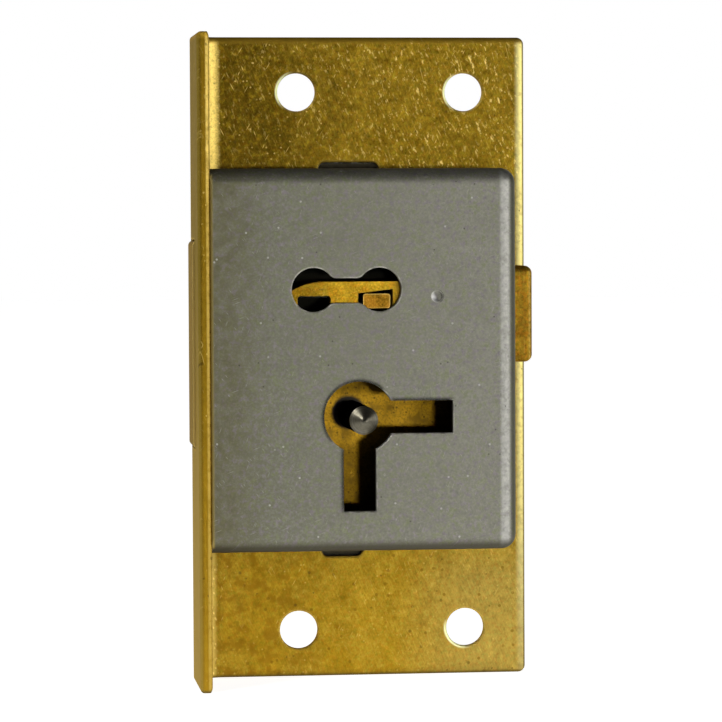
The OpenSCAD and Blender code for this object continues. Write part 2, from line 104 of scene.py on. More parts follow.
class Graph:
    """One node tree, built with short calls. Values may be numbers or sockets."""

    def __init__(self, tree):
        self.tree = tree
        self.tree.nodes.clear()

    def node(self, kind, **settings):
        made = self.tree.nodes.new(kind)
        for key, value in settings.items():
            setattr(made, key, value)
        return made

    def put(self, socket, value):
        if isinstance(value, bpy.types.NodeSocket):
            self.tree.links.new(value, socket)
        else:
            socket.default_value = value

    def math(self, operation, a, b=0.0, clamp=False):
        n = self.node("ShaderNodeMath", operation=operation, use_clamp=clamp)
        self.put(n.inputs[0], a)
        self.put(n.inputs[1], b)
        return n.outputs[0]

    def plus(self, a, b):
        return self.math("ADD", a, b)

    def minus(self, a, b):
        return self.math("SUBTRACT", a, b)

    def times(self, a, b):
        return self.math("MULTIPLY", a, b)

    def fit(self, value, low, high, to_low=0.0, to_high=1.0):
        """Maps low..high smoothly to to_low..to_high, and holds the ends."""
        n = self.node("ShaderNodeMapRange", interpolation_type="SMOOTHSTEP", clamp=True)
        self.put(n.inputs["Value"], value)
        self.put(n.inputs["From Min"], low)
        self.put(n.inputs["From Max"], high)
        self.put(n.inputs["To Min"], to_low)
        self.put(n.inputs["To Max"], to_high)
        return n.outputs["Result"]

    def near(self, value, level, start, end, to_start=0.0, to_end=1.0):
        """Like fit, with both ends given as distances from a level."""
        return self.fit(value, level + start, level + end, to_start, to_end)

    def mix(self, share, a, b):
        """Goes from colour a to colour b, on the sockets that the node keeps for colours."""
        n = self.node("ShaderNodeMix", data_type="RGBA")
        self.put(n.inputs[0], share)
        self.put(n.inputs[6], a)
        self.put(n.inputs[7], b)
        return n.outputs[2]

    def scaled(self, colour, factor):
        n = self.node("ShaderNodeVectorMath", operation="SCALE")
        self.put(n.inputs[0], colour)
        self.put(n.inputs["Scale"], factor)
        return n.outputs[0]

    def tinted(self, colour, tint):
        n = self.node("ShaderNodeVectorMath", operation="MULTIPLY")
        self.put(n.inputs[0], colour)
        n.inputs[1].default_value = tint[:3]
        return n.outputs[0]

    def millimetres(self):
        """Object coordinates in millimetres, as a vector and as X, Y and Z."""
        coords = self.node("ShaderNodeTexCoord")
        scale = self.node("ShaderNodeVectorMath", operation="SCALE")
        self.put(scale.inputs[0], coords.outputs["Object"])
        scale.inputs["Scale"].default_value = 1 / MM
        split = self.node("ShaderNodeSeparateXYZ")
        self.put(split.inputs[0], scale.outputs[0])
        return scale.outputs[0], split.outputs[0], split.outputs[1], split.outputs[2]

    def noise(self, place, size, detail=3.0, roughness=0.55, distortion=0.0):
        """Noise whose blobs are about size millimetres across, from 0 to 1."""
        n = self.node("ShaderNodeTexNoise")
        self.put(n.inputs["Vector"], place)
        n.inputs["Scale"].default_value = 1 / size
        n.inputs["Detail"].default_value = detail
        n.inputs["Roughness"].default_value = roughness
        n.inputs["Distortion"].default_value = distortion
        return n.outputs["Fac"]

    def streaks(self, flat, angle, length, width, seed):
        """Noise drawn out along an angle from the horizontal, from 0 to 1."""
        turn = self.node("ShaderNodeMapping")
        self.put(turn.inputs["Vector"], flat)
        turn.inputs["Location"].default_value = (seed, seed * 1.3, 0)
        turn.inputs["Rotation"].default_value = (0, 0, -math.radians(angle))
        drawn = self.node("ShaderNodeMapping")
        self.put(drawn.inputs["Vector"], turn.outputs[0])
        drawn.inputs["Scale"].default_value = (width / length, 1, 1)
        return self.noise(drawn.outputs[0], width, 2.0, 0.6)

    def sheared(self, x, y, z, level=0.0):
        """A place in a plane that differs along every face, for marks. At y = level, its height is z."""
        n = self.node("ShaderNodeCombineXYZ")
        self.put(n.inputs[0], self.plus(x, y))
        rise = self.times(self.minus(y, level), 0.8)
        self.put(n.inputs[1], self.plus(z, rise))
        return n.outputs[0]

    def scratches(self, flat, angle, length, width, kept, seed):
        """Scattered fine strokes at an angle from the horizontal; kept is the share of cells with one."""
        turn = self.node("ShaderNodeMapping")
        self.put(turn.inputs["Vector"], flat)
        turn.inputs["Location"].default_value = (seed, seed * 1.7, 0)
        turn.inputs["Rotation"].default_value = (0, 0, -math.radians(angle))
        cells = self.node("ShaderNodeMapping")
        self.put(cells.inputs["Vector"], turn.outputs[0])
        reach = 0.16
        cells.inputs["Scale"].default_value = (2 * reach / length, 2 * reach / width, 1)
        n = self.node("ShaderNodeTexVoronoi", voronoi_dimensions="2D", feature="F1")
        self.put(n.inputs["Vector"], cells.outputs[0])
        n.inputs["Scale"].default_value = 1.0
        split = self.node("ShaderNodeSeparateColor")
        self.put(split.inputs[0], n.outputs["Color"])
        stroke = self.fit(n.outputs["Distance"], reach, 0.3 * reach)
        chosen = self.fit(split.outputs[0], 1 - kept, 1 - 0.6 * kept)
        return self.times(stroke, chosen)

    def specks(self, flat, spacing, radius, kept, seed):
        """Scattered round spots; kept is the share of cells with one."""
        move = self.node("ShaderNodeMapping")
        self.put(move.inputs["Vector"], flat)
        move.inputs["Location"].default_value = (seed, seed * 2.3, 0)
        n = self.node("ShaderNodeTexVoronoi", voronoi_dimensions="2D", feature="F1")
        self.put(n.inputs["Vector"], move.outputs[0])
        n.inputs["Scale"].default_value = 1 / spacing
        split = self.node("ShaderNodeSeparateColor")
        self.put(split.inputs[0], n.outputs["Color"])
        reach = radius / spacing
        spot = self.fit(n.outputs["Distance"], reach, 0.5 * reach)
        chosen = self.fit(split.outputs[1], 1 - kept, 1 - 0.8 * kept)
        return self.times(spot, chosen)

    def varied(self, amount, parts):
        """1 plus amount times the sum of the parts, each a noise that is swung about 0, and its weight."""
        total = 0.0
        for noise, weight in parts:
            total = self.plus(total, self.times(self.minus(noise, 0.5), weight))
        return self.plus(1.0, self.times(total, amount))

    def radius(self, x, z, centre_x, centre_z):
        """Distance from an axis along Y, and the offsets from it."""
        dx = self.minus(x, centre_x)
        dz = self.minus(z, centre_z)
        squares = self.plus(self.times(dx, dx), self.times(dz, dz))
        return self.math("SQRT", squares), dx, dz

    def lit_side_of_rim(self, x, z, centre, hole_r, width, towards):
        """1 on the side of a hole's rim that lies towards a direction, where a highlight is painted."""
        r, dx, dz = self.radius(x, z, *centre)
        side = self.plus(self.times(dx, towards[0]), self.times(dz, towards[1]))
        side = self.fit(self.math("DIVIDE", side, r), 0.35, 0.95)
        return self.times(self.fit(r, hole_r + width, hole_r + 0.4 * width), side)

    def inside(self, value, low, high, soft):
        """1 between low and high, fading to 0 over soft on both sides."""
        return self.times(self.fit(value, low - soft, low), self.fit(value, high + soft, high))

    def largest(self, values):
        total = values[0]
        for v in values[1:]:
            total = self.math("MAXIMUM", total, v)
        return total

    def soft_edge(self, radius):
        """A normal that rounds edges to a radius in millimetres, and a share that is 1 on them only."""
        bevel = self.node("ShaderNodeBevel", samples=6)
        bevel.inputs["Radius"].default_value = radius * MM
        flat = self.node("ShaderNodeNewGeometry")
        turn = self.node("ShaderNodeVectorMath", operation="DOT_PRODUCT")
        self.put(turn.inputs[0], bevel.outputs[0])
        self.put(turn.inputs[1], flat.outputs["Normal"])
        return bevel.outputs[0], self.fit(turn.outputs["Value"], 0.997, 0.93)

    def metal(self, colour, roughness, height, depth, normal, tint, metallic=1.0):
        """Ends the tree: metal on the given normal, with a bump whose full height is depth millimetres."""
        bump = self.node("ShaderNodeBump")
        bump.inputs["Distance"].default_value = depth * MM
        self.put(bump.inputs["Height"], height)
        self.put(bump.inputs["Normal"], normal)
        shader = self.node("ShaderNodeBsdfPrincipled")
        shader.inputs["Specular IOR Level"].default_value = 0.2
        shader.inputs["Specular Tint"].default_value = tint
        self.put(shader.inputs["Metallic"], metallic)
        self.put(shader.inputs["Base Color"], colour)
        self.put(shader.inputs["Roughness"], roughness)
        self.put(shader.inputs["Normal"], bump.outputs[0])
        out = self.node("ShaderNodeOutputMaterial")
        self.put(out.inputs["Surface"], shader.outputs[0])
        return shader


def material(name):
    made = bpy.data.materials.new(name)
    made.use_nodes = True
    return made, Graph(made.node_tree)


def rgb(r, g, b):
    return (r, g, b, 1.0)


# Tints of the two metals at a grazing angle
BRASS_EDGE = rgb(0.60, 0.40, 0.08)
STEEL_EDGE = rgb(0.75, 0.75, 0.72)


def sheet_brass():
    """Plate and selvedge: handled brass sheet, browner towards its top, partly from tarnish and partly as
    painted shade, full of short bright scratches, with painted highlights on its fold, rims and edges.
    """
    made, g = material("sheet_brass")
    place, x, y, z = g.millimetres()
    flat = g.sheared(x, y, z)
    normal, edge = g.soft_edge(0.4)
    wide = g.noise(place, 9.0, 2.0)
    patch = g.noise(place, 2.2, 5.0, 0.62, 0.5)
    mottle = g.noise(place, 0.6, 4.0, 0.65)
    grain = g.noise(place, 0.22, 3.0, 0.7)
    blotch = g.noise(place, 1.2, 3.0, 0.6)
    steep = g.streaks(flat, 112, 0.8, 0.17, 5.0)
    crossing = g.streaks(flat, 62, 0.5, 0.16, 9.0)
    # The upper end and the side next to the selvedge are painted darker, partly as tarnish and partly as
    # painted shade where the light falls off
    upper = g.fit(z, -8.0, 30.0)
    leftward = g.times(g.fit(x, 3.0, -10.0, 0.0, 0.55), g.fit(z, -22.0, 25.0, 0.3, 1.0))
    tarnish_and_shade = g.plus(g.times(upper, 0.44), leftward)
    tarnish_and_shade = g.math("ADD", tarnish_and_shade, g.times(g.minus(wide, 0.5), 0.7), clamp=True)
    clean = g.mix(upper, rgb(0.365, 0.225, 0.016), rgb(0.40, 0.250, 0.017))
    colour = g.mix(tarnish_and_shade, clean, rgb(0.120, 0.074, 0.006))
    brown = g.mix(upper, rgb(0.30, 0.174, 0.007), rgb(0.24, 0.137, 0.006))
    colour = g.mix(g.fit(patch, 0.44, 0.70, 0.0, 0.5), colour, brown)
    yellow = g.mix(upper, rgb(0.36, 0.243, 0.030), rgb(0.29, 0.196, 0.010))
    colour = g.mix(g.fit(mottle, 0.50, 0.64, 0.0, 0.45), colour, yellow)
    red = g.mix(upper, rgb(0.27, 0.158, 0.008), rgb(0.15, 0.080, 0.004))
    colour = g.mix(g.fit(grain, 0.50, 0.36, 0.0, 0.35), colour, red)
    orange = g.times(g.fit(g.noise(place, 6.0, 2.0), 0.45, 0.62, 0.0, 0.5), g.fit(z, 0.0, -12.0))
    colour = g.mix(orange, colour, rgb(0.32, 0.185, 0.007))
    # Painted light: a paler pool low on the right, where the light falls most strongly
    low_right_light = g.times(g.fit(x, 3.0, 13.0), g.fit(z, -10.0, -18.0))
    colour = g.mix(g.times(low_right_light, 0.6), colour, rgb(0.41, 0.295, 0.066))
    uneven = g.fit(z, -34.0, 30.0, 0.7, 1.4)
    swings = [(blotch, 0.8), (mottle, 0.7), (grain, 0.5), (steep, 0.8), (crossing, 0.5)]
    colour = g.scaled(colour, g.varied(uneven, swings))
    # Small patches lean to green and to red
    olive_patch = g.fit(g.noise(place, 0.42, 2.0), 0.50, 0.66, 0.0, 0.8)
    red_patch = g.fit(g.noise(flat, 0.45, 2.0), 0.50, 0.66, 0.0, 0.8)
    colour = g.mix(olive_patch, colour, g.tinted(colour, rgb(0.90, 1.07, 1.1)))
    colour = g.mix(red_patch, colour, g.tinted(colour, rgb(1.08, 0.91, 0.9)))
    rust = g.times(g.fit(x, 2.0, -10.0), g.fit(z, -8.0, -14.0))
    rust = g.times(rust, g.fit(g.noise(flat, 1.5, 3.0, 0.6), 0.48, 0.62, 0.0, 0.7))
    colour = g.mix(rust, colour, rgb(0.23, 0.115, 0.006))
    brown_spots = g.times(g.specks(flat, 1.3, 0.20, 0.25, 91.0), g.fit(z, -8.0, -14.0, 0.0, 0.6))
    colour = g.mix(brown_spots, colour, rgb(0.16, 0.078, 0.006))
    # Under the cap the sheet is oiled and stained with old grease. Painted shade darkens it towards the
    # keyhole's top, bottom and right end, and a painted shadow of the pin lies round its foot
    cased = g.inside(z, CAP_LOW_Z + 0.6, CAP_TOP_Z - 0.6, 0.4)
    cased = g.times(cased, g.inside(x, SELVEDGE_IN_X + 2.0, CAP_RIGHT_X - 0.65, 0.3))
    cased = g.times(cased, g.fit(y, 0.5, 0.3))
    stains = g.largest([
        g.fit(blotch, 0.44, 0.66, 0.0, 0.7),
        g.fit(grain, 0.42, 0.66, 0.0, 0.75),
        g.specks(flat, 0.5, 0.14, 0.2, 71.0),
    ])
    # Painted shadow of the pin, near-black round its foot
    pin_shadow = g.fit(g.radius(x, z, *PIN_SHADOW)[0], 1.9, 1.5)
    oiled = g.mix(stains, rgb(0.190, 0.106, 0.006), rgb(0.064, 0.037, 0.006))
    shade = g.times(g.fit(z, 1.2, 3.0, 1.0, 0.34), g.fit(z, -2.4, -4.4, 1.0, 0.48))
    shade = g.times(shade, g.fit(x, 5.0, 7.5, 1.0, 0.6))
    oiled = g.scaled(oiled, shade)
    oiled = g.mix(pin_shadow, oiled, rgb(0.010, 0.009, 0.007))
    colour = g.mix(cased, colour, oiled)
    # The selvedge: olive outside, brown on its front edge
    outer = g.near(x, SELVEDGE_OUT_X, 0.35, 0.08)
    front = g.times(g.near(y, FRONT_Y, 0.4, 0.2), g.near(x, SELVEDGE_IN_X, 0.4, 0.1))
    brow = g.mix(g.fit(z, 10.0, -20.0), rgb(0.27, 0.155, 0.008), rgb(0.36, 0.205, 0.012))
    colour = g.mix(g.times(front, 0.75), colour, brow)
    olive = g.mix(g.fit(z, 20.0, -20.0), rgb(0.36, 0.255, 0.036), rgb(0.60, 0.42, 0.085))
    colour = g.mix(g.times(outer, 0.85), colour, olive)
    strokes = g.largest([
        g.scratches(flat, 118, 1.1, 0.13, 0.08, 3.1),
        g.scratches(flat, 110, 0.7, 0.13, 0.08, 11.7),
        g.scratches(flat, 66, 0.6, 0.13, 0.08, 23.9),
        g.scratches(flat, 104, 2.2, 0.08, 0.05, 37.3),
        g.scratches(flat, 60, 1.0, 0.10, 0.05, 61.3),
    ])
    flecks = g.specks(flat, 0.6, 0.11, 0.14, 41.0)
    coarse = g.streaks(flat, 112, 0.9, 0.30, 27.0)
    grains = g.largest([g.fit(steep, 0.58, 0.74), g.fit(crossing, 0.62, 0.76), g.fit(coarse, 0.62, 0.76)])
    grains = g.times(grains, g.fit(blotch, 0.42, 0.60, 0.2, 1.0))
    grains = g.times(grains, g.fit(x, -10.0, 12.0, 0.35, 1.0))
    clusters = g.times(g.fit(x, -8.0, 10.0, 0.2, 0.9), g.fit(z, 10.0, 30.0))
    clusters = g.times(clusters, g.fit(g.noise(place, 2.4, 2.0), 0.42, 0.58, 0.15, 1.0))
    clusters = g.times(clusters, g.fit(g.streaks(flat, 108, 0.7, 0.34, 45.0), 0.56, 0.70))
    worn = g.fit(g.noise(place, 4.0, 2.0), 0.40, 0.62, 0.2, 0.9)
    strokes = g.times(g.largest([strokes, flecks, grains, clusters]), worn)
    strokes = g.times(strokes, g.fit(z, -34.0, 18.0, 0.2, 0.8))
    # Painted highlights: the fold, the selvedge's inner lip, the right rim and one side of three holes are
    # painted bright where they would catch the light; the edges are partly worn bright and partly painted
    # highlight
    upwards = g.fit(z, -28.0, 32.0)
    fold_end = g.plus(-13.7, g.times(upwards, 0.6))
    ragged = g.plus(x, g.times(g.minus(mottle, 0.5), 0.9))
    fold_highlight = g.minus(1.0, g.fit(g.minus(ragged, fold_end), -0.55, 0.1))
    fold_highlight = g.times(fold_highlight, g.inside(y, -1.7, 1.0, 0.3))
    lip_highlight = g.inside(x, SELVEDGE_IN_X - 0.3, SELVEDGE_IN_X - 0.12, 0.17)
    lip_highlight = g.times(lip_highlight, g.near(y, FRONT_Y, 0.6, 0.3))
    lip_highlight = g.times(lip_highlight, g.plus(0.5, g.times(g.fit(z, 20.0, 27.0), 0.4)))
    right = g.times(g.near(x, PLATE_RIGHT_X, -1.05, -0.3), g.fit(z, -26.0, 0.0, 0.15, 0.95))
    wear_and_highlight = g.times(g.largest([fold_highlight, lip_highlight, edge]), g.fit(mottle, 0.34, 0.54, 0.45, 0.9))
    wear_and_highlight = g.times(wear_and_highlight, g.fit(z, -28.0, 24.0, 0.72, 1.0))
    hole_highlights = g.largest([
        g.lit_side_of_rim(x, z, TOP_LEFT_HOLE, SCREW_HOLE_R, 0.32, (-0.97, 0.24)),
        g.lit_side_of_rim(x, z, TOP_RIGHT_HOLE, SCREW_HOLE_R, 0.26, (-1.0, 0.0)),
        g.lit_side_of_rim(x, z, LOW_RIGHT_HOLE, SCREW_HOLE_R, 0.36, (-0.75, -0.66)),
    ])
    bright = g.times(g.largest([strokes, wear_and_highlight]), g.minus(1.0, cased))
    colour = g.mix(bright, colour, rgb(0.86, 0.62, 0.15))
    colour = g.mix(clusters, colour, rgb(0.97, 0.72, 0.20))
    fold_sheen = g.times(g.fit(z, 5.0, 30.0, 0.0, 0.9), g.fit(grain, 0.40, 0.58, 0.25, 1.0))
    colour = g.mix(g.times(fold_highlight, fold_sheen), colour, rgb(1.0, 0.74, 0.18))
    fold_sheen_flecks = g.times(fold_highlight, g.specks(flat, 0.5, 0.16, 0.4, 83.0))
    colour = g.mix(g.times(fold_sheen_flecks, 0.85), colour, rgb(1.0, 0.74, 0.20))
    # Painted highlights on the right rim and on one side of three holes
    rim_highlights = g.largest([hole_highlights, g.times(right, g.fit(mottle, 0.34, 0.54, 0.7, 1.0))])
    colour = g.mix(rim_highlights, colour, g.mix(right, rgb(1.0, 1.0, 0.52), rgb(1.0, 0.85, 0.29)))
    # The plate's ends: a painted highlight just below the top edge, and painted shade along the bottom and
    # right edges
    colour = g.mix(g.near(z, PLATE_TOP_Z, -0.8, -0.25, 0.0, 0.85), colour, rgb(0.50, 0.31, 0.030))
    edge_shade_bands = g.largest([
        g.near(z, PLATE_LOW_Z, 0.4, 0.05, 0.0, 0.8),
        g.near(x, PLATE_RIGHT_X, -0.24, -0.05, 0.0, 0.75),
    ])
    colour = g.mix(edge_shade_bands, colour, rgb(0.07, 0.050, 0.016))
    pits = g.largest([g.specks(flat, 1.6, 0.12, 0.1, 5.0), g.specks(flat, 3.1, 0.2, 0.12, 19.0)])
    colour = g.mix(g.times(pits, 0.55), colour, rgb(0.09, 0.052, 0.010))
    roughness = g.plus(g.fit(patch, 0.3, 0.7, 0.40, 0.47), g.times(grain, 0.05))
    roughness = g.plus(roughness, g.times(outer, 0.2))
    roughness = g.minus(roughness, g.times(cased, 0.15))
    height = g.plus(g.times(grain, 0.35), g.times(mottle, 0.4))
    height = g.minus(height, g.times(g.plus(strokes, pits), 0.7))
    metallic = g.minus(1.0, g.times(outer, 0.45))
    g.metal(colour, roughness, height, 0.012, normal, BRASS_EDGE, metallic)
    return made


def cast_brass():
    """Bolt: duller, browner brass, cast and filed, and near-black inside the case, partly old grease and
    partly painted shade.
    """
    made, g = material("cast_brass")
    place, x, y, z = g.millimetres()
    flat = g.sheared(x, y, z)
    normal, edge = g.soft_edge(0.2)
    wide = g.noise(place, 2.5, 3.0)
    grain = g.noise(place, 0.22, 3.0, 0.7)
    colour = g.mix(g.fit(wide, 0.35, 0.65), rgb(0.385, 0.230, 0.016), rgb(0.26, 0.145, 0.010))
    colour = g.mix(g.fit(grain, 0.35, 0.7, 0.0, 0.35), colour, rgb(0.42, 0.27, 0.035))
    speckle = g.noise(place, 0.4, 3.0, 0.7)
    colour = g.scaled(colour, g.varied(1.0, [(grain, 1.4), (speckle, 2.2)]))
    redder = g.fit(g.noise(flat, 0.5, 2.0), 0.45, 0.62)
    colour = g.mix(redder, colour, g.tinted(colour, rgb(1.15, 0.88, 0.8)))
    colour = g.mix(g.near(x, SELVEDGE_OUT_X, 0.5, 0.3, 0.0, 0.9), colour, rgb(0.240, 0.190, 0.040))
    # A painted highlight lightens the head's front face where it fills the gap beside the selvedge, in
    # place of the shade there
    turned = g.node("ShaderNodeSeparateXYZ")
    g.put(turned.inputs[0], g.node("ShaderNodeNewGeometry").outputs["True Normal"])
    gap_light = g.times(g.fit(turned.outputs[1], -0.5, -0.8), g.near(x, SELVEDGE_OUT_X, 0.2, 0.05))
    colour = g.mix(gap_light, colour, rgb(0.95, 0.72, 0.25))
    # A painted highlight along the tail's end
    tail_edge_highlight = g.inside(x, TAIL_END_X - 0.34, TAIL_END_X - 0.22, 0.1)
    tail_edge_highlight = g.times(tail_edge_highlight, g.fit(speckle, 0.35, 0.6, 0.2, 0.8))
    files = g.largest([
        g.scratches(flat, 88, 2.2, 0.06, 0.3, 7.7),
        g.scratches(flat, 80, 1.2, 0.05, 0.25, 29.0),
    ])
    bright = g.largest([g.times(files, 0.5), g.times(edge, 0.3), tail_edge_highlight])
    colour = g.mix(bright, colour, rgb(0.78, 0.54, 0.12))
    # Painted shade on the tail's very end
    colour = g.mix(g.near(x, TAIL_END_X, -0.14, -0.02, 0.0, 0.8), colour, rgb(0.050, 0.036, 0.012))
    # Inside the case the bolt is near-black: old grease and painted shade
    grease_and_shade = g.times(g.fit(x, -9.0, -8.0), g.near(x, CAP_RIGHT_X, -0.25, -0.85))
    colour = g.mix(grease_and_shade, colour, rgb(0.016, 0.017, 0.014))
    roughness = g.plus(g.fit(grain, 0.3, 0.7, 0.42, 0.54), g.times(grease_and_shade, 0.1))
    height = g.minus(g.times(grain, 0.5), g.times(files, 0.5))
    metallic = g.minus(0.85, g.times(grease_and_shade, 0.4))
    g.metal(colour, roughness, height, 0.014, normal, BRASS_EDGE, metallic)
    return made


def stamped_brass():
    """Levers: clean, bright brass on the front one; those behind it are near-black, partly grease and
    partly painted shade.
    """
    made, g = material("stamped_brass")
    place, x, y, z = g.millimetres()
    flat = g.sheared(x, y, z)
    normal, edge = g.soft_edge(0.10)
    wide = g.noise(place, 1.5, 3.0)
    grain = g.noise(place, 0.2, 3.0, 0.7)
    colour = g.mix(g.fit(wide, 0.35, 0.65), rgb(0.37, 0.232, 0.012), rgb(0.27, 0.155, 0.006))
    colour = g.mix(g.fit(grain, 0.42, 0.62, 0.0, 0.45), colour, rgb(0.52, 0.345, 0.035))
    marks = g.largest([
        g.scratches(flat, 4, 1.2, 0.05, 0.25, 2.3),
        g.scratches(flat, 65, 0.6, 0.05, 0.2, 13.0),
    ])
    bright = g.times(g.largest([marks, edge]), 0.5)
    colour = g.mix(bright, colour, rgb(0.85, 0.62, 0.16))
    speckle = g.noise(place, 0.38, 3.0, 0.7)
    colour = g.scaled(colour, g.varied(1.0, [(grain, 1.2), (speckle, 1.5)]))
    colour = g.scaled(colour, g.fit(x, -5.0, -2.0, 0.74, 1.28))
    redder = g.fit(g.noise(flat, 0.5, 2.0), 0.45, 0.62)
    colour = g.mix(redder, colour, g.tinted(colour, rgb(1.1, 0.9, 0.8)))
    # Painted shade at the front lever's right end
    right_end_shade = g.times(g.fit(x, 2.7, 3.7), 0.7)
    colour = g.mix(right_end_shade, colour, rgb(0.16, 0.09, 0.010))
    # The levers behind the front one are near-black: grease and painted shade
    grease_and_shade = g.near(y, FRONT_LEVER_BACK_Y, 0.03, 0.15)
    colour = g.mix(grease_and_shade, colour, rgb(0.020, 0.021, 0.016))
    roughness = g.fit(grain, 0.3, 0.7, 0.36, 0.48)
    height = g.minus(g.times(grain, 0.5), g.times(marks, 0.5))
    g.metal(colour, roughness, height, 0.012, normal, BRASS_EDGE)
    return made


def drawn_brass():
    """Stump: redder brass rod, with its corners bright, partly wear and partly painted highlight."""
    made, g = material("drawn_brass")
    place, _, y, z = g.millimetres()
    edge = g.soft_edge(0.22)[1]
    normal = g.node("ShaderNodeNewGeometry").outputs["Normal"]
    wide = g.noise(place, 0.9, 3.0)
    grain = g.noise(place, 0.18, 3.0, 0.7)
    colour = g.mix(g.fit(wide, 0.35, 0.65), rgb(0.29, 0.14, 0.009), rgb(0.21, 0.088, 0.007))
    colour = g.mix(g.fit(grain, 0.35, 0.7, 0.0, 0.35), colour, rgb(0.45, 0.26, 0.03))
    colour = g.scaled(colour, g.varied(1.0, [(grain, 1.8), (wide, 2.4)]))
    # Corners: partly wear, partly painted highlight
    colour = g.mix(g.times(edge, 0.6), g.scaled(colour, 1.28), rgb(0.90, 0.64, 0.16))
    # Grease and painted shade darken what is behind the upturned end and under it
    grease_and_shade = g.largest([
        g.near(y, STUMP_END_BACK_Y, -0.02, 0.1),
        g.near(z, STUMP_END_LOW_Z, 0.01, -0.05),
    ])
    colour = g.mix(grease_and_shade, colour, rgb(0.030, 0.020, 0.005))
    g.metal(colour, g.fit(grain, 0.3, 0.7, 0.36, 0.48), grain, 0.012, normal, BRASS_EDGE)
    return made


def pressed_steel():
    """Cap: dull grey sheet with a fine grain, small nicks and a trace of brown near the selvedge."""
    made, g = material("pressed_steel")
    place, x, y, z = g.millimetres()
    flat = g.sheared(x, y, z, FRONT_Y)
    normal, edge = g.soft_edge(0.30)
    wide = g.noise(place, 6.0, 3.0)
    patch = g.noise(place, 0.9, 4.0, 0.65)
    grain = g.noise(place, 0.20, 3.0, 0.75)
    green = g.noise(place, 0.45, 2.0)
    lilac = g.noise(flat, 0.5, 2.0)
    # Painted light: lighter towards the right, where the light falls, and painted shade towards the bottom
    across = g.fit(x, -15.0, 15.0)
    colour = g.mix(across, rgb(0.215, 0.214, 0.148), rgb(0.315, 0.309, 0.250))
    colour = g.mix(g.fit(z, 4.0, -10.0, 0.0, 0.4), colour, g.scaled(colour, 0.82))
    colour = g.mix(g.fit(wide, 0.35, 0.7, 0.0, 0.3), colour, rgb(0.231, 0.229, 0.178))
    colour = g.mix(g.fit(patch, 0.40, 0.70, 0.0, 0.25), colour, rgb(0.210, 0.206, 0.162))
    colour = g.mix(g.fit(green, 0.50, 0.68, 0.0, 0.75), colour, rgb(0.225, 0.245, 0.130))
    colour = g.mix(g.fit(lilac, 0.50, 0.68, 0.0, 0.75), colour, rgb(0.275, 0.235, 0.262))
    colour = g.mix(g.fit(grain, 0.42, 0.70, 0.0, 0.3), colour, rgb(0.375, 0.369, 0.325))
    brown = g.times(g.fit(x, -8.0, -14.8), g.fit(patch, 0.35, 0.6, 0.3, 0.7))
    colour = g.mix(brown, colour, rgb(0.156, 0.140, 0.075))
    nicks = g.largest([
        g.scratches(flat, 70, 0.8, 0.05, 0.06, 4.4),
        g.scratches(flat, 128, 0.5, 0.05, 0.06, 17.0),
        g.scratches(flat, 20, 1.0, 0.05, 0.04, 31.0),
    ])
    # A painted highlight on the right bend, and painted shade on its side
    bend_highlight = g.inside(x, CAP_RIGHT_X - 1.45, CAP_RIGHT_X - 0.95, 0.4)
    bend_highlight = g.times(bend_highlight, g.near(y, FRONT_Y, 0.9, 0.3))
    bend_highlight = g.times(bend_highlight, g.fit(patch, 0.35, 0.6, 0.45, 0.8))
    bright = g.largest([g.times(nicks, 0.55), bend_highlight])
    colour = g.mix(bright, colour, rgb(0.55, 0.54, 0.50))
    colour = g.mix(g.near(x, CAP_RIGHT_X, -0.8, -0.35, 0.0, 0.75), colour, rgb(0.085, 0.083, 0.050))
    swings = [(grain, 0.7), (green, 0.5), (patch, 0.6)]
    colour = g.scaled(colour, g.varied(g.fit(x, -8.0, 8.0, 0.4, 0.8), swings))
    # The centre punch left a dimple, with a painted highlight on its left and painted shade on its right
    dimple, dx, dz = g.radius(x, z, *PUNCH_MARK)
    across_dimple = g.plus(g.times(dx, 0.9), g.times(dz, 0.4))
    dimple_highlight = g.times(g.fit(dimple, 0.64, 0.54), g.fit(across_dimple, 0.0, -0.35))
    dimple_shade = g.times(g.inside(dimple, 0.46, 0.60, 0.1), g.fit(dx, 0.05, 0.35))
    colour = g.mix(g.times(dimple_highlight, 0.8), colour, rgb(0.80, 0.79, 0.77))
    colour = g.mix(g.times(dimple_shade, 0.7), colour, rgb(0.06, 0.06, 0.05))
    dots = g.specks(flat, 3.0, 0.13, 0.3, 53.0)
    colour = g.mix(g.times(dots, 0.7), colour, rgb(0.62, 0.61, 0.56))
    pits = g.specks(flat, 2.2, 0.11, 0.22, 8.0)
    colour = g.mix(g.times(pits, 0.65), colour, rgb(0.07, 0.066, 0.05))
    # Painted shade along the lower bend and on the tabs; the back of the face is dark, partly grime and
    # partly painted shade
    back = g.node("ShaderNodeSeparateXYZ")
    g.put(back.inputs[0], g.node("ShaderNodeNewGeometry").outputs["True Normal"])
    shade_and_grime = g.largest([
        g.near(z, CAP_LOW_Z, 1.3, 0.4, 0.0, 0.82),
        g.fit(back.outputs[1], 0.3, 0.5),
        g.near(z, CAP_TOP_Z, 0.02, 0.1),
        g.near(z, CAP_LOW_Z, -0.02, -0.1),
    ])
    colour = g.mix(shade_and_grime, colour, rgb(0.055, 0.048, 0.030))
    # Edges are bright in places, partly wear and partly painted highlight; the keyhole's upper left edges
    # are painted black as shade
    wear_and_highlight = g.times(edge, g.fit(patch, 0.40, 0.60, 0.15, 0.75))
    colour = g.mix(wear_and_highlight, colour, rgb(0.95, 0.92, 0.82))
    rolled, roll = g.soft_edge(0.7)
    facing = g.node("ShaderNodeSeparateXYZ")
    g.put(facing.inputs[0], rolled)
    lean = g.minus(facing.outputs[0], facing.outputs[2])
    black = g.times(g.times(roll, g.fit(lean, 0.0, 0.12)), g.fit(z, 7.0, 6.0))
    black = g.times(black, g.inside(x, -8.0, 12.0, 0.5))
    colour = g.mix(black, colour, rgb(0.020, 0.020, 0.018))
